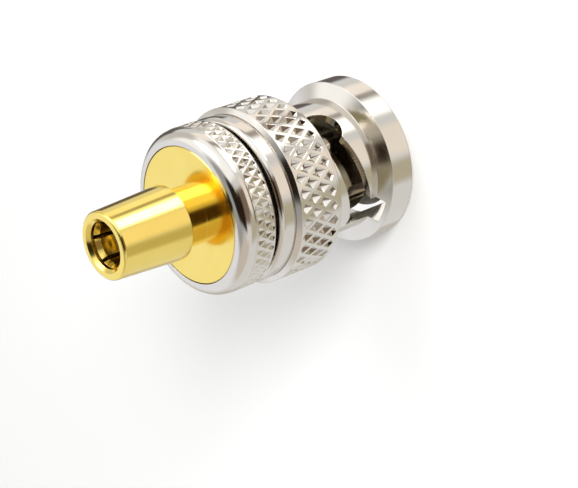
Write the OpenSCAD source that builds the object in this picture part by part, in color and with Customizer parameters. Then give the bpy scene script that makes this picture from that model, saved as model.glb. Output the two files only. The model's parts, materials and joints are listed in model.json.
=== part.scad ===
// BNC plug to SMB plug adapter, standing on the front ring of its bayonet nut.
// Millimetres, +Z along the axis from the bayonet end up to the small push-on end.

/* [Coupling nut] */
// Diameter over the ridges of the coarse diamond knurl
knurl_dia = 14.5; // [14.3:0.1:15]
// Depth of the pits between its ridges
knurl_depth = 0.4; // [0.25:0.05:0.45]
// Pits around the coarse knurl
knurl_count = 38; // [32:2:48]
// Length of the coarse knurl along the axis
knurl_len = 4.3; // [3.9:0.1:4.8]
// Diameter of the smooth land ahead of the knurl
land_dia = 14; // [13.8:0.1:14.1]
// Length of the smooth land
land_len = 0.4; // [0.3:0.05:0.6]
// Diameter of the slotted drum
drum_dia = 11.1; // [10.9:0.1:11.4]
// Length of the drum between the land and the cone of the front ring
drum_len = 5.2; // [5:0.05:5.6]
// Diameter of the front ring
ring_dia = 13.6; // [13.2:0.1:14]
// Length of the front ring
ring_len = 2.35; // [2.1:0.05:2.6]
// Length of the cone behind the front ring
cone_len = 0.55; // [0.4:0.05:0.8]
// Diameter of the smooth band behind the knurl
band_dia = 13.6; // [13.4:0.05:13.7]
// Length of the smooth band
band_len = 1.35; // [1.25:0.05:1.6]

/* [Bayonet cam] */
// Width of the cam slot
slot_width = 2.25; // [2.15:0.05:2.4]
// Diameter of the detent hole at the locked end
detent_dia = 3.3; // [3.1:0.05:3.5]
// Turn from the lead-in groove to the detent, degrees
cam_turn = 85.5; // [78:0.5:92]
// Drop of the cam over that turn
cam_lead = 2.26; // [2:0.02:2.4]
// Wall of the front ring outside the lead-in groove
lug_wall = 0.4; // [0.25:0.05:0.8]
// Direction of the first detent hole about the axis, degrees
detent_angle = -61.5; // [-90:0.5:90]

/* [Plug interface] */
// Diameter of the jack barrel that the nut slides over
jack_dia = 9.64; // [9.6:0.01:9.7]
// Play of the nut on the jack barrel, on the diameter
jack_play = 0.1; // [0.06:0.01:0.14]
// Outside diameter of the slotted outer contact
contact_dia = 8.1; // [8:0.02:8.16]
// Wall of the outer contact
contact_wall = 0.55; // [0.45:0.05:0.65]
// Length of the outer contact ahead of the gasket's seat
contact_reach = 7.1; // [6.6:0.1:7.4]
// Width of the four slots in the outer contact
contact_slot = 0.4; // [0.3:0.05:0.5]
// Diameter of the centre pin
pin_dia = 1.32; // [1.3:0.01:1.36]
// Length of the centre pin ahead of the gasket's seat
pin_reach = 6.6; // [6:0.1:7]
// Length of the body's pilot between its flange and the gasket's seat
pilot_len = 1.6; // [1.2:0.1:2]
// Height of the sealing gasket
gasket_height = 0.8; // [0.6:0.1:1]

/* [Spring pack] */
// Height of the wave washer as fitted
wave_height = 0.9; // [0.8:0.05:1]
// Thickness of the wave washer strip
wave_thick = 0.24; // [0.18:0.02:0.3]
// Waves around the washer
wave_count = 3; // [3:1:4]
// Thickness of the flat thrust washer
washer_thick = 0.3; // [0.24:0.02:0.34]
// Thickness of the retaining ring
ring_thick = 0.46; // [0.4:0.02:0.5]
// Opening of the retaining ring, degrees
ring_gap = 28; // [16:2:40]

/* [Rear collar] */
// Diameter of the collar at its rounded end and over its fine knurl
collar_dia = 13.6; // [13.3:0.1:13.8]
// Length of the fine knurl
fine_len = 2.1; // [1.8:0.05:2.2]
// Depth of the fine knurl
fine_depth = 0.15; // [0.1:0.01:0.24]
// Pits around the fine knurl
fine_count = 50; // [40:2:60]
// Radius of the rounded end of the collar
collar_round = 1.1; // [1:0.05:1.2]
// Gap between the nut and the collar
nut_gap = 0.5; // [0.4:0.05:0.7]
// Diameter of the gold flange disc
disc_dia = 11.14; // [11:0.02:11.3]

/* [Push-on end] */
// Length of the neck between the disc and the sleeve
neck_len = 1.85; // [1.6:0.05:2.2]
// Diameter of the neck
neck_dia = 4.8; // [4.5:0.1:5.2]
// Length of the tapered sleeve
sleeve_len = 6.35; // [6.1:0.05:6.8]
// Diameter of the sleeve at its base
sleeve_base = 6.1; // [5.9:0.05:6.3]
// Diameter of the sleeve at its tip
sleeve_tip = 5.5; // [5.3:0.05:5.7]
// Diameter of the mouth
mouth_dia = 3.8; // [3.78:0.01:3.9]
// Inside diameter of the spring fingers
finger_bore = 3.44; // [3.38:0.02:3.46]
// Wall of the spring fingers
finger_wall = 0.3; // [0.24:0.02:0.34]
// Number of spring fingers
finger_count = 6; // [4:2:6]
// Width of the slots between the fingers
finger_slot = 0.32; // [0.24:0.02:0.4]
// Diameter of the insulator nose inside the fingers
nose_dia = 2.08; // [1.9:0.02:2.2]
// Diameter of the small socket contact
socket_dia = 1.2; // [1.1:0.02:1.26]

/* [Fits] */
// Radial clearance of pressed and seated pieces
seat_gap = 0.01; // [0.01:0.005:0.02]
// Radial clearance of pieces that turn or slide
run_gap = 0.06; // [0.04:0.01:0.08]

/* [Hidden] */
// Segments of a full circle
$fn = 96;
// Overlap of cutting tools past the faces they open
over = 1;
// Small edge break
edge = 0.12;
// Straight chamfer at the front of the ring
ring_edge = 0.18;
// Chamfer at the front of the land
land_edge = 0.12;
// Fillet at the rear of the band
band_round = 0.45;
// Width of the groove between knurl and band
step_len = 0.15;
// Depth of that groove below the band
step_depth = 0.12;
// Bevel at both ends of a knurl, and from there to the middle of the first row of pits
knurl_bevel = 0.25;
knurl_margin = 0.47;
fine_bevel = 0.12;
fine_margin = 0.2;
// Rows of pits in the coarse and the fine knurl
knurl_rows = 4;
fine_rows = 3;
// Share of its cell that a pit takes, the rest is left as flat ridges
knurl_share = 0.74;
fine_share = 0.86;
// Rings of a knurl before its first row of pits: the end and the shoulder
blank_count = 2;
// Bevel at the mouth of the nut
mouth_edge = 0.35;

knurl_r = knurl_dia / 2;
valley_r = knurl_r - knurl_depth;
land_r = land_dia / 2;
drum_r = drum_dia / 2;
ring_r = ring_dia / 2;
band_r = band_dia / 2;
bore_r = (jack_dia + jack_play) / 2;
contact_r = contact_dia / 2;
contact_in = contact_r - contact_wall;
pin_r = pin_dia / 2;
collar_r = collar_dia / 2;
fine_valley = collar_r - fine_depth;
// Smooth end of the collar, just below the crests of its knurl
smooth_r = collar_r - fine_depth / 4;
disc_r = disc_dia / 2;
neck_r = neck_dia / 2;
mouth_r = mouth_dia / 2;
finger_in = finger_bore / 2;
finger_r = finger_in + finger_wall;
nose_r = nose_dia / 2;
socket_r = socket_dia / 2;

// Heights along the axis, counted from the front face of the ring
z_cone = ring_len;
z_drum = ring_len + cone_len;
z_land = z_drum + drum_len;
z_knurl = z_land + land_len;
z_step = z_knurl + knurl_len;
z_band = z_step + step_len;
nut_len = z_band + band_len;
z_collar = nut_len + nut_gap;
z_smooth = z_collar + fine_len;
z_face = z_smooth + collar_round;
z_base = z_face + neck_len;
z_tip = z_base + sleeve_len;

// Spring pack, counted back from the nut's rear face
// Lip behind the retaining ring's groove
lip_len = 0.58;
// Depth of that groove below the pocket's wall
groove_deep = 0.26;
// Wall of the nut between that groove and the smooth band
groove_wall = 0.49;
// Thickness of the body's flange
flange_len = 0.7;
// Room between the pocket's wall and the body's shank for the washers
spring_room = 1.15;
// Room between the shank and the retaining ring
clip_room = 0.4;
groove_len = ring_thick + 2 * seat_gap;
z_groove = nut_len - lip_len - groove_len;
z_clip = z_groove + seat_gap;
z_washer = z_clip - seat_gap - washer_thick;
z_wave = z_washer - seat_gap - wave_height;
z_flange = z_wave - seat_gap - flange_len;
z_stop = z_flange - seat_gap;
groove_r = band_r - groove_wall;
pocket_r = groove_r - groove_deep;
shank_r = pocket_r - spring_room;
flange_r = pocket_r - run_gap;
washer_in = shank_r + run_gap;
washer_out = pocket_r - run_gap;
clip_in = shank_r + clip_room;

// Body and collar
// Step from the shank down to the stub that the collar is screwed on
stub_step = 0.7;
// Wall of that stub
stub_wall = 0.8;
// Thickness of the flange disc
disc_thick = 1;
// Length of the spigot behind the disc
spigot_len = 1.7;
// Depth of the outer contact's seat in the body's flange
contact_seat = 0.6;
// Ledge between the spigot's bore and the body's throat
throat_ledge = 0.4;
// Dark joint line around the disc
disc_joint = 0.05;
stub_r = shank_r - stub_step;
spigot_r = stub_r - stub_wall;
z_disc = z_face - disc_thick;
recess_r = disc_r + disc_joint;
z_seat = z_flange + contact_seat;
z_spigot = z_disc - spigot_len;
z_stub = z_disc - edge;
throat_r = spigot_r - throat_ledge;

// Contacts and insulators
// Room around the pilot and the gasket inside the nut
gasket_room = 0.15;
// Inside radius of the liner around the pin
liner_in = 2.45;
// Step of the outer contact up to its pressed foot
foot_step = 0.25;
// Direction of the outer contact's slots, degrees
contact_turn = 37;
// Room between the liner and the outer contact
liner_room = 0.2;
// Setback of the liner from the contact's front edge
liner_lead = 1;
// Depth of the liner in front of its web
liner_len = 4.9;
// Tail of the pin inside the small socket, and where it starts behind the seat
tail_r = 0.4;
tail_len = 1.1;
tail_lead = 1.9;
// Bore of the small end's body for its insulator
bead_r = 1.6;
// Length of the sleeve's press seat and setback of the insulator's shoulder from it
press_len = 1.05;
bead_lead = 0.3;
// Lip of the sleeve over the spring fingers, and the room around and ahead of them
lip_thick = 0.52;
finger_room = 0.3;
lip_gap = 0.06;
// Widening of the fingers at their mouth and the length over which they widen
finger_bell = 0.2;
finger_lead = 0.45;
// Land between the insulator's shoulder and the foot of the finger slots
slot_land = 0.3;
// Rounding of the sleeve's tip, and the flare of its mouth
lip_edge = 0.26;
lip_flare = 0.27;
// Length of the insulator's nose and lead of the socket past it
nose_len = 2;
socket_lead = 0.2;
// Radius and depth of the small socket
socket_bore = 0.27;
socket_depth = 2;
foot_r = contact_r + foot_step;
z_pilot = z_flange - pilot_len;
z_contact = z_pilot - contact_reach;
z_gasket = z_pilot - gasket_height;
gasket_r = bore_r - gasket_room;
z_pin = z_pilot - pin_reach;
liner_out = contact_in - liner_room;
z_liner = z_contact + liner_lead;
z_web = z_liner + liner_len;
z_join = z_seat + tail_lead;
z_root = z_base + press_len;
z_bead = z_root + bead_lead;
z_lip = z_tip - lip_thick;
z_finger = z_lip - lip_gap;
z_nose = z_bead + nose_len;
cavity_r = finger_r + finger_room;
sleeve_r0 = sleeve_base / 2;
sleeve_r1 = sleeve_tip / 2;

// Bayonet cam
// Stations along the swept cutter
cam_steps = 24;
// Web between the detent hole and the land
detent_web = 0.25;
// How far the cam's line passes behind the centre of the detent hole
cam_rise = 0.38;
// How much narrower than the slot the neck beside the detent hole is
neck_step = 0.15;
slot_half = slot_width / 2;
lug_radius = ring_r - lug_wall;
neck_half = (slot_width - neck_step) / 2;
detent_r = detent_dia / 2;
z_detent = z_land - detent_r - detent_web;
z_entry = z_detent + cam_rise - cam_lead;
// Slope of the cam along the drum, and half the height of the slot along the axis
cam_slope = cam_lead * 180 / (PI * drum_r * cam_turn);
cam_half = slot_half * sqrt(1 + cam_slope * cam_slope);
// Turn from the detent hole to the round end of the slot, so that the two meet in the neck
neck_run = sqrt(pow(detent_r, 2) - pow(neck_half, 2)) + sqrt(pow(slot_half, 2) - pow(neck_half, 2));
neck_turn = neck_run * 180 / (PI * drum_r);
cam_in = contact_r + run_gap;
cam_out = knurl_r + over;

// Ring of rectangular section from radius a to radius b, between heights lo and hi
module tube(a, b, lo, hi) {
  translate([0, 0, lo]) difference() {
    cylinder(r = b, h = hi - lo);
    translate([0, 0, -over]) cylinder(r = a, h = hi - lo + 2 * over);
  }
}

// Round cutter between two heights
module drill(r, lo, hi) {
  translate([0, 0, lo]) cylinder(r = r, h = hi - lo);
}

// Conical cutter from radius a at height lo to radius b at height hi
module ream(a, b, lo, hi) {
  translate([0, 0, lo]) cylinder(r1 = a, r2 = b, h = hi - lo);
}

// One ring of knurl points: pits and ridges in turn, swapped on every second ring
function knurl_ring(n, pit, ridge, z, odd) = [
  for (i = [0 : 2 * n - 1])
    let (r = (i + odd) % 2 == 0 ? pit : ridge, a = i * 180 / n)
      [r * cos(a), r * sin(a), z]];

// Whether ring j carries a row of pits
function pitted(rows, j) = j >= blank_count && j < blank_count + rows;

// First corner of the rim of the pit at ring j and column i: 0 right, 1 up, 2 left, 3 down from there
function rim_at(n, rows, j, i) =
  (rows + 2 * blank_count) * 2 * n + 4 * ((j - blank_count) * n + floor(i / 2));

// Side of a pit from its bottom c towards the ridge from u to v, with the rim's corners p and q between
function knurl_face(c, u, v, p, q, share) = share < 1 ? [[c, p, q], [p, u, v], [p, v, q]] : [[c, u, v]];

// Faces of a knurl cell, parted along the ridge
function knurl_cell(n, rows, j, i, odd, share) =
  let (m = 2 * n, h = (i + 1) % m, a = j * m + i, b = j * m + h, c = a + m, d = b + m,
       fa = rim_at(n, rows, j, i), fb = rim_at(n, rows, j, h),
       fc = rim_at(n, rows, j + 1, i), fd = rim_at(n, rows, j + 1, h))
    (i + odd) % 2 == 0
      ? concat(pitted(rows, j) ? knurl_face(a, c, b, fa + 1, fa, share) : [[a, c, b]],
               pitted(rows, j + 1) ? knurl_face(d, b, c, fd + 3, fd + 2, share) : [[b, c, d]])
      : concat(pitted(rows, j) ? knurl_face(b, a, d, fb + 2, fb + 1, share) : [[a, d, b]],
               pitted(rows, j + 1) ? knurl_face(c, d, a, fc, fc + 3, share) : [[a, c, d]]);

// Pressed diamond knurl between heights lo and hi: crossing ridges with rows of pits between them,
// a bevel at each end and a plain margin inside it
module knurl(n, ridge, pit, lo, hi, rows, bevel, margin, share) {
  m = 2 * n;
  step = 180 / n;
  plain = bevel + margin;
  pitch = (hi - lo - 2 * plain) / (rows - 1);
  top = rows + 2 * blank_count - 1;
  heights = concat([lo, lo + bevel], [for (j = [0 : rows - 1]) lo + plain + j * pitch], [hi - bevel, hi]);
  rings = [for (j = [0 : top])
    let (low = j == 0 || j == top)
      knurl_ring(n, low || pitted(rows, j) ? pit : ridge, low ? pit : ridge, heights[j], (j + 1) % 2)];
  rims = share < 1 ? [for (j = [blank_count : blank_count + rows - 1]) for (q = [0 : n - 1])
    let (a = (2 * q + (j + 1) % 2) * step, z = heights[j])
      each [for (k = [[1, 0], [0, heights[j + 1] - z], [-1, 0], [0, heights[j - 1] - z]])
        let (t = a + share * k[0] * step) [ridge * cos(t), ridge * sin(t), z + share * k[1]]]] : [];
  points = concat([for (ring = rings) for (p = ring) p], rims);
  sides = [for (j = [0 : top - 1]) for (i = [0 : m - 1])
    each knurl_cell(n, rows, j, i, (j + 1) % 2, share)];
  caps = [[for (i = [0 : m - 1]) i], [for (i = [m - 1 : -1 : 0]) top * m + i]];
  polyhedron(points = points, faces = concat(caps, sides), convexity = 10);
}

// Height of the cam's centre line, the angle a counted from the detent towards the lead-in groove
function cam_z(a) = z_detent + cam_rise - cam_lead * a / cam_turn;

// Four corners of the cutter at angle a: inside and outside, on both walls
function cam_station(a) =
  [for (w = [1, -1]) for (r = [cam_in, cam_out]) [r * cos(a), -r * sin(a), cam_z(a) + w * cam_half]];

// Swept cutter of the cam slot, from its round end beside the detent to the lead-in groove
module cam_cutter() {
  points = [for (i = [0 : cam_steps]) each cam_station(neck_turn + (cam_turn - neck_turn) * i / cam_steps)];
  walls = [for (i = [0 : cam_steps - 1]) for (e = [[0, 1], [1, 3], [3, 2], [2, 0]])
    let (a = 4 * i + e[0], b = 4 * i + e[1]) each [[a, b, a + 4], [b, b + 4, a + 4]]];
  last = 4 * cam_steps;
  polyhedron(points = points, faces = concat([[0, 2, 3, 1]], walls, [[last, last + 1, last + 3, last + 2]]),
             convexity = 10);
}

// One cam: detent hole, helical slot with a round end, and the axial groove through the front ring
module cam() {
  cam_cutter();
  translate([cam_in, 0, z_detent]) rotate([0, 90, 0]) cylinder(r = detent_r, h = cam_out - cam_in);
  rotate([0, 0, -neck_turn]) translate([cam_in, 0, cam_z(neck_turn)]) rotate([0, 90, 0])
    cylinder(r = slot_half, h = cam_out - cam_in);
  rotate([0, 0, -cam_turn]) intersection() {
    translate([0, -slot_half, -over]) cube([cam_out, slot_width, z_entry + cam_half - edge / 2 + over]);
    drill(lug_radius, -over, z_land);
  }
}

// Outer form of the nut without its knurl
module nut_form() {
  rotate_extrude() {
    polygon([[0, 0], [ring_r - ring_edge, 0], [ring_r, ring_edge], [ring_r, z_cone], [drum_r, z_drum],
             [drum_r, z_land], [land_r - land_edge, z_land], [land_r, z_land + land_edge],
             [land_r, z_knurl], [valley_r - step_depth, z_knurl], [band_r - step_depth, z_band],
             [band_r, z_band], [band_r, nut_len - band_round], [band_r - band_round, nut_len - band_round],
             [band_r - band_round, nut_len], [0, nut_len]]);
    translate([band_r - band_round, nut_len - band_round]) circle(r = band_round);
  }
}

// Bayonet coupling nut
module coupling_nut() color([0.78, 0.76, 0.73]) difference() {
  union() {
    nut_form();
    knurl(knurl_count, knurl_r, valley_r, z_knurl - edge, z_step, knurl_rows,
          knurl_bevel, knurl_margin, knurl_share);
  }
  drill(bore_r, -over, nut_len + over);
  ream(bore_r + mouth_edge + over, bore_r, -over, mouth_edge);
  drill(pocket_r, z_stop, nut_len + over);
  drill(groove_r, z_groove, z_groove + groove_len);
  for (side = [0, 180]) rotate([0, 0, detent_angle + side]) cam();
}

// Retaining ring, open at one side, in the groove of the nut
module retaining_ring() color([0.6, 0.6, 0.62]) difference() {
  tube(clip_in, groove_r - run_gap, z_clip, z_clip + ring_thick);
  intersection() {
    translate([0, 0, z_clip - over]) cube([groove_r, groove_r, ring_thick + 2 * over]);
    rotate([0, 0, ring_gap - 90]) translate([0, 0, z_clip - over])
      cube([groove_r, groove_r, ring_thick + 2 * over]);
  }
}

// Flat thrust washer between the wave washer and the retaining ring
module thrust_washer() color([0.68, 0.68, 0.7])
  tube(washer_in, washer_out, z_washer, z_washer + washer_thick);

// Section corner of the wave washer at angle a: radius r, top or bottom
function wave_point(a, r, up) =
  let (mid = z_wave + wave_height / 2, rise = (wave_height - wave_thick) / 2)
    [r * cos(a), r * sin(a), mid + rise * sin(wave_count * a) + (up - 0.5) * wave_thick];

// Wave washer that pulls the nut back onto its stop
module wave_washer() color([0.55, 0.55, 0.58]) {
  n = $fn;
  inner = washer_in + run_gap;
  outer = washer_out - run_gap;
  points = [for (i = [0 : n - 1]) for (c = [[inner, 0], [outer, 0], [outer, 1], [inner, 1]])
    wave_point(i * 360 / n, c[0], c[1])];
  faces = [for (i = [0 : n - 1]) for (e = [0 : 3])
    let (j = (i + 1) % n, f = (e + 1) % 4, a = 4 * i + e, b = 4 * i + f, c = 4 * j + f, d = 4 * j + e)
      each [[a, b, c], [a, c, d]]];
  polyhedron(points = points, faces = faces, convexity = 10);
}

// Nickel-plated body with the flange that the nut bears on
module plug_body() color([0.75, 0.73, 0.7]) difference() {
  union() {
    drill(gasket_r, z_pilot, z_flange + edge);
    drill(flange_r, z_flange, z_flange + flange_len);
    drill(shank_r, z_flange, z_collar - seat_gap);
    drill(stub_r, z_flange, z_stub);
  }
  drill(foot_r + seat_gap, z_pilot - over, z_seat);
  drill(throat_r, z_flange, z_stub + over);
  drill(spigot_r, z_spigot - seat_gap, z_stub + over);
}

// Slotted outer contact of the plug
module outer_contact() color([0.8, 0.78, 0.74]) difference() {
  union() {
    tube(contact_in, contact_r, z_contact, z_seat - seat_gap);
    tube(contact_in, foot_r, z_gasket + edge, z_seat - seat_gap);
  }
  ream(contact_in + edge + over, contact_in, z_contact - over, z_contact + edge);
  for (side = [0, 90]) rotate([0, 0, side + contact_turn])
    translate([-knurl_r, -contact_slot / 2, z_contact - over])
      cube([2 * knurl_r, contact_slot, over + z_gasket - z_contact - edge]);
}

// Silicone sealing gasket at the foot of the outer contact
module gasket() color([0.72, 0.36, 0.22])
  tube(foot_r + seat_gap, gasket_r, z_gasket, z_pilot);

// Insulator of the plug end: a liner around the pin and a web that carries it
module bnc_insulator() color([0.95, 0.95, 0.93]) difference() {
  union() {
    drill(liner_out, z_liner, z_web + seat_gap);
    drill(contact_in - seat_gap, z_web, z_seat - seat_gap);
    drill(throat_r - seat_gap, z_seat - seat_gap, z_spigot - 2 * seat_gap);
  }
  drill(liner_in, z_liner - over, z_web);
  drill(pin_r + seat_gap, z_liner, z_spigot + over);
}

// Centre pin with a rounded tip and a tail that enters the small socket
module centre_pin() color([0.86, 0.68, 0.3]) {
  rotate_extrude() {
    polygon([[0, z_pin], [pin_r - edge, z_pin], [pin_r, z_pin + 2 * edge], [pin_r, z_join],
             [tail_r, z_join], [tail_r, z_join + tail_len], [0, z_join + tail_len]]);
  }
}

// Nickel-plated rear collar with a rounded end and a fine knurl
module rear_collar() color([0.78, 0.76, 0.73]) difference() {
  union() {
    rotate_extrude() {
      square_up(smooth_r, z_smooth - edge, z_smooth);
      square_up(smooth_r - collar_round, z_smooth, z_face);
      translate([smooth_r - collar_round, z_smooth]) circle(r = collar_round);
    }
    knurl(fine_count, collar_r, fine_valley, z_collar, z_smooth - edge / 2, fine_rows,
          fine_bevel, fine_margin, fine_share);
  }
  drill(stub_r + seat_gap, z_collar - over, z_disc);
  drill(recess_r, z_disc - seat_gap, z_face + over);
}

// Flat rectangle from the axis out to radius r, between two heights
module square_up(r, lo, hi) {
  translate([0, lo]) square([r, hi - lo]);
}

// Gold body of the push-on end: flange disc, neck and spring fingers in one turned piece
module smb_body() color([0.88, 0.7, 0.3]) difference() {
  union() {
    drill(spigot_r - seat_gap, z_spigot, z_disc);
    drill(disc_r, z_disc, z_face - edge / 2);
    ream(disc_r, disc_r - edge / 2, z_face - edge / 2, z_face);
    drill(neck_r, z_face - edge, z_base - seat_gap);
    drill(finger_r, z_face, z_finger);
  }
  drill(bead_r, z_spigot - over, z_finger + over);
  drill(finger_in, z_bead, z_finger + over);
  ream(finger_in, finger_in + finger_bell * (1 + over / finger_lead), z_finger - finger_lead,
       z_finger + over);
  for (k = [0 : finger_count / 2 - 1]) rotate([0, 0, k * 360 / finger_count])
    translate([-knurl_r, -finger_slot / 2, z_bead + slot_land])
      cube([2 * knurl_r, finger_slot, z_finger - z_bead + over]);
}

// Tapered gold sleeve that shrouds the spring fingers
module smb_sleeve() color([0.9, 0.72, 0.3]) difference() {
  rotate_extrude() {
    polygon([[0, z_base], [sleeve_r0 - edge, z_base], [sleeve_r0, z_base + edge],
             [sleeve_r1, z_tip - lip_edge], [sleeve_r1 - lip_edge, z_tip - lip_edge],
             [sleeve_r1 - lip_edge, z_tip], [0, z_tip]]);
    translate([sleeve_r1 - lip_edge, z_tip - lip_edge]) circle(r = lip_edge);
  }
  drill(finger_r + seat_gap, z_base - over, z_root);
  drill(cavity_r, z_root, z_lip);
  drill(mouth_r, z_root, z_tip + over);
  ream(mouth_r, mouth_r + lip_flare + over, z_tip - lip_flare, z_tip + over);
}

// Insulator of the push-on end with a slim nose inside the fingers
module smb_insulator() color([0.95, 0.95, 0.93]) difference() {
  union() {
    drill(bead_r - seat_gap, z_spigot, z_bead);
    drill(nose_r, z_spigot, z_nose);
  }
  drill(socket_r + seat_gap, z_spigot - over, z_nose + over);
}

// Socket contact of the push-on end, slotted at its mouth
module smb_socket() color([0.86, 0.68, 0.3]) difference() {
  drill(socket_r, z_join + seat_gap, z_nose + socket_lead);
  drill(tail_r + seat_gap, z_join - over, z_join + tail_len + seat_gap);
  drill(socket_bore, z_nose + socket_lead - socket_depth, z_nose + over);
  translate([-socket_r - over, -socket_bore / 2, z_nose + socket_lead - socket_depth])
    cube([2 * (socket_r + over), socket_bore, socket_depth + over]);
}

coupling_nut();
retaining_ring();
thrust_washer();
wave_washer();
plug_body();
outer_contact();
gasket();
bnc_insulator();
centre_pin();
rear_collar();
smb_body();
smb_sleeve();
smb_insulator();
smb_socket();
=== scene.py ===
"""Looks of the coaxial adapter: plated metals, tent light, paper floor and the photograph's camera."""
import json
import math

import bpy
import numpy as np
from mathutils import Matrix, Vector


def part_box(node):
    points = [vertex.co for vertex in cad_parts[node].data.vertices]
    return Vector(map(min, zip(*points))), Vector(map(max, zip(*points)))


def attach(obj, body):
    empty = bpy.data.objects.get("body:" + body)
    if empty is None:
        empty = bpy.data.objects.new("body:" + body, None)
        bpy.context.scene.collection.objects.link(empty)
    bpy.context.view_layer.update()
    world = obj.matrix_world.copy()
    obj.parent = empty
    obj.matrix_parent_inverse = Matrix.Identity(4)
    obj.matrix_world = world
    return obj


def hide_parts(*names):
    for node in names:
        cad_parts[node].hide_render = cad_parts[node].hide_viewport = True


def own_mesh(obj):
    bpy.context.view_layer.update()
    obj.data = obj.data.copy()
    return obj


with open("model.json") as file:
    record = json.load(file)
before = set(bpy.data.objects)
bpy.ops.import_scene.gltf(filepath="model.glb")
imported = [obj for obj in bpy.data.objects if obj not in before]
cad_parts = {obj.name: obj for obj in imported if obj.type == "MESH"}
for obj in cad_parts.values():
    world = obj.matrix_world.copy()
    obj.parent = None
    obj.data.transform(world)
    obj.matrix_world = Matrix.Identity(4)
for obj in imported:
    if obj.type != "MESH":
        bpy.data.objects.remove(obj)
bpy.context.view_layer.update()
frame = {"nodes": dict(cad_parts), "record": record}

MM = 0.001
NODES = frame["nodes"]
SCENE = bpy.context.scene

# Places of the colour sockets on a Mix node, whose names are shared with other sockets
MIX_A, MIX_B, MIX_RESULT = 6, 7, 2


def linear(code):
    """An sRGB hex colour as linear RGBA: each channel goes through the sRGB curve."""
    channels = [int(code[i:i + 2], 16) / 255 for i in (1, 3, 5)]
    return [c / 12.92 if c <= 0.04045 else ((c + 0.055) / 1.055) ** 2.4 for c in channels] + [1.0]


def add(tree, kind, inputs=None, **settings):
    """One node: settings are its properties, inputs are socket values or the sockets that feed them."""
    made = tree.nodes.new(kind)
    for name, value in settings.items():
        setattr(made, name, value)
    for name, value in (inputs or {}).items():
        if isinstance(value, bpy.types.NodeSocket):
            tree.links.new(value, made.inputs[name])
        else:
            made.inputs[name].default_value = value
    return made


def start(name):
    """A new material and its node tree, still empty."""
    material = bpy.data.materials.new(name)
    material.use_nodes = True
    tree = material.node_tree
    tree.nodes.clear()
    return material, tree


# Metals
# Lathe rings are about 0.03 mm apart on the real part, and roller marks finer still. Both are drawn coarser,
# so that they still show. Sizes here are in millimetres
LATHE_RING = 0.08
ROLLER_MARK = 0.12
RING_DEPTH = 0.01
CLOUD_SIZE = 2.22
# Most of the noise lies between these two values
CLOUD_LOW, CLOUD_HIGH = 0.3, 0.7
EDGE_SAMPLES = 6
# Lean of a unit normal along the ring: below the first value it is taken out, above the second it stays
LEAN_GOES, LEAN_STAYS = 0.11, 0.16


def ring_coordinates(tree):
    """The place of a surface point, and its radius and height in millimetres as (radius, height, 0), which is
    what a lathe tool follows."""
    place = add(tree, "ShaderNodeTexCoord").outputs["Object"]
    parts = add(tree, "ShaderNodeSeparateXYZ", {0: place})
    flat = add(tree, "ShaderNodeCombineXYZ", {"X": parts.outputs["X"], "Y": parts.outputs["Y"]})
    radius = add(tree, "ShaderNodeVectorMath", {0: flat.outputs[0]}, operation="LENGTH")
    joined = add(tree, "ShaderNodeCombineXYZ", {"X": radius.outputs["Value"], "Y": parts.outputs["Z"]})
    scaled = add(tree, "ShaderNodeVectorMath", {0: joined.outputs[0], "Scale": 1 / MM}, operation="SCALE")
    return place, scaled.outputs[0]


def turned(tree, place, normal):
    """The normal of a turned surface: with t the ring direction at a point, the normal's part along t is
    taken out where it is small. A lathe leaves no such lean, and it only comes from the flats of the mesh."""
    own = add(tree, "ShaderNodeVectorTransform", {0: normal}, vector_type="NORMAL",
              convert_from="WORLD", convert_to="OBJECT").outputs[0]
    flat = add(tree, "ShaderNodeVectorMath", {0: place, 1: (1, 1, 0)}, operation="MULTIPLY")
    side = add(tree, "ShaderNodeVectorMath", {0: (0, 0, 1), 1: flat.outputs[0]}, operation="CROSS_PRODUCT")
    ring = add(tree, "ShaderNodeVectorMath", {0: side.outputs[0]}, operation="NORMALIZE").outputs[0]
    lean = add(tree, "ShaderNodeVectorMath", {0: own, 1: ring}, operation="DOT_PRODUCT").outputs["Value"]
    size = add(tree, "ShaderNodeMath", {0: lean}, operation="ABSOLUTE").outputs[0]
    share = add(tree, "ShaderNodeMapRange", {
        "Value": size, "From Min": LEAN_STAYS, "From Max": LEAN_GOES}).outputs[0]
    loss = add(tree, "ShaderNodeMath", {0: lean, 1: share}, operation="MULTIPLY").outputs[0]
    extra = add(tree, "ShaderNodeVectorMath", {0: ring, "Scale": loss}, operation="SCALE")
    clean = add(tree, "ShaderNodeVectorMath", {0: own, 1: extra.outputs[0]}, operation="SUBTRACT")
    back = add(tree, "ShaderNodeVectorTransform", {0: clean.outputs[0]}, vector_type="NORMAL",
               convert_from="OBJECT", convert_to="WORLD")
    return add(tree, "ShaderNodeVectorMath", {0: back.outputs[0]}, operation="NORMALIZE").outputs[0]


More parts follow.
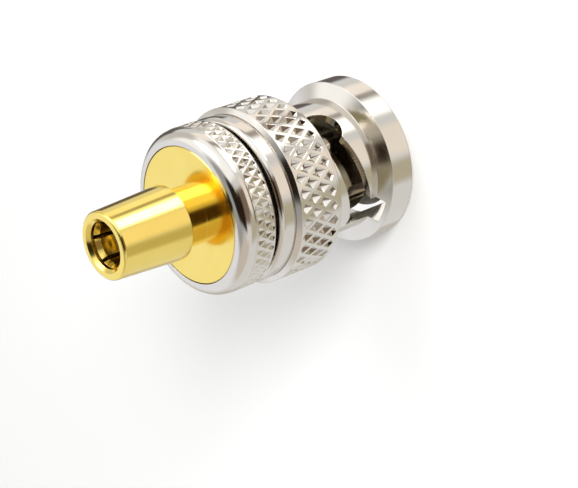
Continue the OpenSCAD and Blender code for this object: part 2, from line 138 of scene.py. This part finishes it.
def metal(name, colour, tint, clear, dull, mark, groove, edge_radius):
    """A turned or rolled metal. Fine rings, mark millimetres apart, lie in its surface and draw each mirror
    image out across them. The skin varies between two colours, and between a clear and a dull roughness.
    Edges carry a small radius in millimetres."""
    material, tree = start(name)
    place, lathe = ring_coordinates(tree)
    rings = add(tree, "ShaderNodeTexNoise", {
        "Vector": lathe, "Scale": 1 / mark, "Detail": 3.0, "Roughness": 0.6})
    cloud = add(tree, "ShaderNodeTexNoise", {
        "Vector": place, "Scale": 1 / (CLOUD_SIZE * MM), "Detail": 4.0, "Roughness": 0.55})
    skin = add(tree, "ShaderNodeMix", {
        "Factor": cloud.outputs["Fac"], MIX_A: linear(colour), MIX_B: linear(tint)}, data_type="RGBA")
    gloss = add(tree, "ShaderNodeMapRange", {
        "Value": cloud.outputs["Fac"], "From Min": CLOUD_LOW, "From Max": CLOUD_HIGH,
        "To Min": clear, "To Max": dull})
    edge = add(tree, "ShaderNodeBevel", {"Radius": edge_radius * MM}, samples=EDGE_SAMPLES)
    bump = add(tree, "ShaderNodeBump", {
        "Height": rings.outputs["Fac"], "Strength": groove, "Distance": RING_DEPTH * MM,
        "Normal": turned(tree, place, edge.outputs[0])})
    shader = add(tree, "ShaderNodeBsdfPrincipled", {
        "Base Color": skin.outputs[MIX_RESULT], "Metallic": 1.0,
        "Roughness": gloss.outputs[0], "Normal": bump.outputs[0]})
    add(tree, "ShaderNodeOutputMaterial", {"Surface": shader.outputs[0]})
    return material


# Nickel over turned brass is a warm grey mirror, a little milky in patches, with reflections drawn out by the
# lathe's rings and a bright line along every edge
nickel = metal("bright_nickel_plating_on_turned_brass", "#DFDAD3", "#D8D2C9", clear=0.08, dull=0.15,
               mark=LATHE_RING, groove=0.2, edge_radius=0.08)
# Spring bronze with a thin coat of nickel is darker and browner than the nut. Its colour is also set darker
# as painted shade, so that the contact looks dark inside the nut's slots
bronze_darkened_as_painted_shade = metal("thin_nickel_on_spring_bronze_with_painted_shade", "#B0A692", "#A59B86", clear=0.1, dull=0.16,
               mark=LATHE_RING, groove=0.2, edge_radius=0.03)
# Gold over turned brass is a soft pale yellow mirror, which goes orange where it mirrors more gold
gold = metal("gold_plating_on_turned_brass", "#F7DE80", "#F3D672", clear=0.11, dull=0.19,
             mark=LATHE_RING, groove=0.2, edge_radius=0.05)
# Rolled spring steel is a plain grey sheen with no clear mirror image, because the rollers leave it scratched
steel = metal("rolled_spring_steel", "#A9A8A6", "#9C9A97", clear=0.28, dull=0.4,
              mark=ROLLER_MARK, groove=0.3, edge_radius=0.03)

# Polymers
# Depth of the grain, and how far red, green and blue light go in, in millimetres
GRAIN_DEPTH = 0.02
LIGHT_REACH = (0.4, 0.36, 0.3)


def polymer(name, colour, tint, rough, grain, depth, inside):
    """A plain polymer: a soft grain, its size in millimetres, in colour and surface, and a share of light
    that goes inside and comes out again."""
    material, tree = start(name)
    place = add(tree, "ShaderNodeTexCoord").outputs["Object"]
    cloud = add(tree, "ShaderNodeTexNoise", {"Vector": place, "Scale": 1 / (grain * MM), "Detail": 5.0})
    skin = add(tree, "ShaderNodeMix", {
        "Factor": cloud.outputs["Fac"], MIX_A: linear(colour), MIX_B: linear(tint)}, data_type="RGBA")
    bump = add(tree, "ShaderNodeBump", {
        "Height": cloud.outputs["Fac"], "Strength": depth, "Distance": GRAIN_DEPTH * MM})
    shader = add(tree, "ShaderNodeBsdfPrincipled", {
        "Base Color": skin.outputs[MIX_RESULT], "Roughness": rough, "Subsurface Weight": inside,
        "Subsurface Radius": LIGHT_REACH, "Subsurface Scale": MM, "Normal": bump.outputs[0]})
    add(tree, "ShaderNodeOutputMaterial", {"Surface": shader.outputs[0]})
    return material


# PTFE turned from rod is a waxy white with a soft glow in its edges and hardly any gloss
ptfe = polymer("turned_white_ptfe", "#F1EFE8", "#E6E3DA", rough=0.42, grain=0.25, depth=0.3, inside=0.3)
# Silicone rubber from a mould is a matt red-brown with a faint grain
rubber = polymer("moulded_silicone_rubber", "#A8523A", "#96452F", rough=0.6, grain=0.2, depth=0.4, inside=0.1)

finish = {"nickel": nickel, "gold": gold, "spring_steel": steel, "ptfe": ptfe, "silicone": rubber}
for part in frame["record"]["subparts"]:
    piece = NODES[part["node"]]
    piece.data.materials.clear()
    # The outer contact gets the bronze, whose darker colour is partly painted shade for the inside of the nut
    piece.data.materials.append(bronze_darkened_as_painted_shade if part["node"] == "outer_contact" else finish[part["material_slot"]])

# Wave spring
WAVES = 3
STRIP_THICK = 0.24 * MM
STEPS = 288


def wave_spring():
    """The wave washer as a spring. At angle a the strip's middle is at height m + h sin(3 a), with h half of
    the free rise, and a rectangle of the strip's width and thickness is carried round on that line."""
    node = NODES["wave_washer"].data
    points = np.empty(3 * len(node.vertices))
    node.vertices.foreach_get("co", points)
    reach = np.hypot(points[0::3], points[1::3])
    low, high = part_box("wave_washer")
    middle, rise = (low[2] + high[2]) / 2, (high[2] - low[2] - STRIP_THICK) / 2
    angle = np.linspace(0, 2 * math.pi, STEPS, endpoint=False)[:, None]
    radius = np.array([reach.min(), reach.max(), reach.max(), reach.min()])
    side = np.array([-0.5, -0.5, 0.5, 0.5]) * STRIP_THICK
    height = middle + rise * np.sin(WAVES * angle) + side
    corners = np.stack([radius * np.cos(angle), radius * np.sin(angle), height], axis=2).reshape(-1, 3)
    here, edge = np.arange(STEPS)[:, None], np.arange(len(side))[None]
    there, beside = (here + 1) % STEPS, (edge + 1) % len(side)
    here, there = here * len(side), there * len(side)
    faces = np.stack([here + edge, there + edge, there + beside, here + beside], axis=2).reshape(-1, 4)
    mesh = bpy.data.meshes.new("wave_spring")
    mesh.from_pydata(corners.tolist(), [], faces.tolist())
    mesh.materials.append(steel)
    spring = bpy.data.objects.new("wave_spring", mesh)
    SCENE.collection.objects.link(spring)
    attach(spring, "adapter")
    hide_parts("wave_washer")
    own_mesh(spring)


wave_spring()

# Light tent
# Directions are an azimuth from +X towards +Y and an elevation, in degrees. The camera stands in front of the
# upright part, at azimuth -90, with +X at its right hand. Colours are linear light, and 1 is white cloth
world = bpy.data.worlds.new("light_tent")
SCENE.world = world
world.use_nodes = True
sky = world.node_tree
sky.nodes.clear()
ray = add(sky, "ShaderNodeTexCoord").outputs["Generated"]
level = add(sky, "ShaderNodeSeparateXYZ", {0: ray}).outputs["Z"]
around = add(sky, "ShaderNodeVectorMath", {0: ray, 1: (1, 1, 0)}, operation="MULTIPLY")
heading = add(sky, "ShaderNodeVectorMath", {0: around.outputs[0]}, operation="NORMALIZE").outputs[0]


def direction(azimuth, elevation):
    """The unit vector at an azimuth and an elevation."""
    a, e = math.radians(azimuth), math.radians(elevation)
    return math.cos(a) * math.cos(e), math.sin(a) * math.cos(e), math.sin(e)


def patch(source, axis, inner, outer):
    """1 within inner degrees of an axis, falling softly to 0 at outer degrees."""
    dot = add(sky, "ShaderNodeVectorMath", {0: source, 1: axis}, operation="DOT_PRODUCT")
    return add(sky, "ShaderNodeMapRange", {
        "Value": dot.outputs["Value"], "From Min": math.cos(math.radians(outer)),
        "From Max": math.cos(math.radians(inner))}, interpolation_type="SMOOTHSTEP").outputs[0]


def window(low, high, fade):
    """1 between two elevations, falling softly to 0 within fade degrees outside them."""
    sine = [math.sin(math.radians(max(-90, min(90, e)))) for e in (low - fade, low, high, high + fade)]
    up, down = [
        add(sky, "ShaderNodeMapRange", {"Value": level, "From Min": outside, "From Max": inside},
            interpolation_type="SMOOTHSTEP").outputs[0]
        for outside, inside in ((sine[0], sine[1]), (sine[3], sine[2]))]
    return add(sky, "ShaderNodeMath", {0: up, 1: down}, operation="MULTIPLY").outputs[0]


def lay(under, factor, colour):
    """The tent with one colour laid over it where factor is 1."""
    mixed = add(sky, "ShaderNodeMix", {"Factor": factor, MIX_A: under, MIX_B: (*colour, 1)}, data_type="RGBA")
    return mixed.outputs[MIX_RESULT]


def panel(under, azimuth, half, soft, low, high, fade, colour):
    """The tent with a panel over it: half degrees to each side of an azimuth, with edges that fall off over
    soft degrees, and between two elevations, where they fall off over fade degrees."""
    across = patch(heading, direction(azimuth, 0), half, half + soft)
    both = add(sky, "ShaderNodeMath", {0: across, 1: window(low, high, fade)}, operation="MULTIPLY")
    return lay(under, both.outputs[0], colour)


UP, DOWN = (0, 0, 1), (0, 0, -1)
CLOTH = (0.84, 0.85, 0.85, 1)
WHITE = (1, 1, 1)

# White cloth all round, creamier in the lower half and dimmer overhead
tent = lay(CLOTH, window(-90, -8, 12), (0.80, 0.77, 0.67))
tent = lay(tent, patch(ray, UP, 20, 62), (0.42, 0.43, 0.43))
# Upper half, which discs, cones and rounded ends mirror: a cool wall behind and a warm one at the left
tent = panel(tent, 92, 30, 30, 15, 55, 12, (1.00, 1.03, 1.10))
tent = panel(tent, 176, 22, 16, 20, 52, 12, (0.72, 0.66, 0.58))
# A bright wall at the right with a lamp window in it, and its dimmer far end
tent = panel(tent, -8, 54, 12, 4, 52, 16, (1.30, 1.31, 1.31))
tent = panel(tent, -10, 19, 6, 29, 45, 6, (3.6, 3.6, 3.6))
tent = panel(tent, 32, 16, 18, 0, 24, 10, (0.72, 0.71, 0.68))
# A brown opening in front, where the camera stands, black in its upper part
tent = panel(tent, -105, 18, 9, -16, 60, 10, (0.24, 0.18, 0.13))
tent = panel(tent, -114, 22, 9, 32, 60, 9, (0.03, 0.012, 0.008))
# Lower half, which upright faces mirror, from the front left round to the back: olive and cream cloth
tent = panel(tent, -136, 8, 14, -75, -8, 8, (0.58, 0.54, 0.41))
tent = panel(tent, -90, 14, 14, -75, -20, 8, (1.08, 0.99, 0.89))
# A white strip light, its hot top that only the tapered sleeve mirrors, and its narrow dark frame
tent = panel(tent, -37, 7, 11, -75, -16, 8, (1.8, 1.8, 1.77))
tent = panel(tent, -45, 9, 9, -29, -17, 5, (5.0, 5.0, 4.95))
tent = panel(tent, -13, 3, 4, -75, -14, 8, (0.45, 0.41, 0.36))
# Cream cloth, a dark gap and grey cloth
tent = panel(tent, 4, 9, 5, -75, -6, 8, (1.22, 1.14, 1.06))
tent = panel(tent, 56, 12, 7, -75, -4, 8, (0.15, 0.13, 0.13))
tent = panel(tent, 108, 14, 12, -75, -10, 8, (0.60, 0.58, 0.52))
# Olive straight below, which the cone mirrors by way of the knurl's underside, and a black gap high in front,
# which the rounded shoulders mirror
tent = lay(tent, patch(ray, DOWN, 24, 42), (0.43, 0.40, 0.25))
tent = lay(tent, patch(ray, direction(-95, 68), 16, 24), (0.02, 0.015, 0.01))
# The camera itself sees a white background
tent = lay(tent, add(sky, "ShaderNodeLightPath").outputs["Is Camera Ray"], WHITE)
cloth = add(sky, "ShaderNodeBackground", {"Color": tent, "Strength": 1.0})
add(sky, "ShaderNodeOutputWorld", {"Surface": cloth.outputs[0]})

# Paper under the part
# The photograph's part lies on its side, so its turned faces mirror the tent and no floor
PAPER_WHITE = "#FAFAF9"
FIBRE_SIZE = 0.83
FIBRE_DEPTH = 0.05
FLOOR_HALF = 0.8
RING_PAPER_RADIUS = 6.4 * MM
MOUTH_PAPER_RADIUS = 4.35 * MM
# The sheets lie just under the part, each a little lower than the one before it
MOUTH_PAPER_Z, RING_PAPER_Z, FLOOR_Z = -0.010 * MM, -0.015 * MM, -0.020 * MM
CIRCLE_STEPS = 96


def white_paper():
    """Uncoated paper is an even matt white, and its fibres only break the evenness a little."""
    material, tree = start("white_paper")
    place = add(tree, "ShaderNodeTexCoord").outputs["Object"]
    fibre = add(tree, "ShaderNodeTexNoise", {"Vector": place, "Scale": 1 / (FIBRE_SIZE * MM), "Detail": 6.0})
    grain = add(tree, "ShaderNodeBump", {
        "Height": fibre.outputs["Fac"], "Strength": 0.05, "Distance": FIBRE_DEPTH * MM})
    shader = add(tree, "ShaderNodeBsdfPrincipled", {
        "Base Color": linear(PAPER_WHITE), "Roughness": 0.9, "Specular IOR Level": 0.1,
        "Normal": grain.outputs[0]})
    add(tree, "ShaderNodeOutputMaterial", {"Surface": shader.outputs[0]})
    return material


def paper_with_painted_daylight():
    """Paper that is full white to the camera and plain matt paper to all other rays. The white is painted
    light: the paper glows as daylight would light it through the mouth, so what is seen through the lead-in
    grooves is white."""
    material, tree = start("white_paper_glowing_as_painted_daylight")
    matt = add(tree, "ShaderNodeBsdfDiffuse", {"Color": linear(PAPER_WHITE)})
    lit = add(tree, "ShaderNodeEmission", {"Color": linear(PAPER_WHITE), "Strength": 1.0})
    seen = add(tree, "ShaderNodeLightPath").outputs["Is Camera Ray"]
    either = add(tree, "ShaderNodeMixShader", {0: seen, 1: matt.outputs[0], 2: lit.outputs[0]})
    add(tree, "ShaderNodeOutputMaterial", {"Surface": either.outputs[0]})
    return material


def sheet_of(name, material, corners, height, mirrored):
    """A flat sheet of paper through the given (x, y) corners at one height."""
    mesh = bpy.data.meshes.new(name)
    mesh.from_pydata([(x, y, height) for x, y in corners], [], [tuple(range(len(corners)))])
    mesh.materials.append(material)
    sheet = bpy.data.objects.new(name, mesh)
    SCENE.collection.objects.link(sheet)
    sheet.visible_glossy = mirrored


def circle(radius):
    """Corners of a round sheet: radius times (cos a, sin a)."""
    angles = np.linspace(0, 2 * math.pi, CIRCLE_STEPS, endpoint=False)
    return [(radius * math.cos(a), radius * math.sin(a)) for a in angles]


paper = white_paper()
square = [(x * FLOOR_HALF, y * FLOOR_HALF) for x, y in ((-1, -1), (1, -1), (1, 1), (-1, 1))]
sheet_of("paper_floor", paper, square, FLOOR_Z, mirrored=False)
# The sheet under the ring glows white to the camera: painted daylight inside the nut
sheet_of("paper_under_ring", paper_with_painted_daylight(), circle(RING_PAPER_RADIUS), RING_PAPER_Z, mirrored=False)
# Within the mouth the paper is mirrored: it keeps the tent's light from below out of the nut
sheet_of("paper_in_mouth", paper, circle(MOUTH_PAPER_RADIUS), MOUTH_PAPER_Z, mirrored=True)

# Soft key light from the front right: it lays the shadow behind the part, which is under it in the picture
KEY_SIZE = 0.09
KEY_POWER = 0.38
KEY_DISTANCE = 0.22
KEY_PLACE = Vector(direction(-74, 35)) * KEY_DISTANCE
key = bpy.data.lights.new("key_softbox", "AREA")
key.shape = "DISK"
key.size = KEY_SIZE
key.energy = KEY_POWER
softbox = bpy.data.objects.new("key_softbox", key)
SCENE.collection.objects.link(softbox)
softbox.location = KEY_PLACE
softbox.rotation_euler = KEY_PLACE.to_track_quat("Z", "Y").to_euler()
softbox.visible_glossy = False

# Camera at the photograph's viewpoint: its right, up and backward directions and its place in the part's
# frame. The picture is turned, because the photograph's part lies on its side
CAMERA_RIGHT = (-0.3660, -0.5582, -0.7446)
CAMERA_UP = (0.9307, -0.2199, -0.2925)
CAMERA_BACK = (-0.0005, -0.8000, 0.6000)
CAMERA_PLACE = Vector((-4.99, -116.93, 97.59)) * MM
lens = bpy.data.cameras.new("photo_camera")
lens.sensor_width = 36.0
lens.lens = 113.44
lens.clip_start = 0.005
lens.clip_end = 5.0
camera = bpy.data.objects.new("photo_camera", lens)
SCENE.collection.objects.link(camera)
turn = Matrix((CAMERA_RIGHT, CAMERA_UP, CAMERA_BACK)).transposed()
camera.matrix_world = Matrix.Translation(CAMERA_PLACE) @ turn.to_4x4()
SCENE.camera = camera
SCENE.view_settings.view_transform = "Standard"
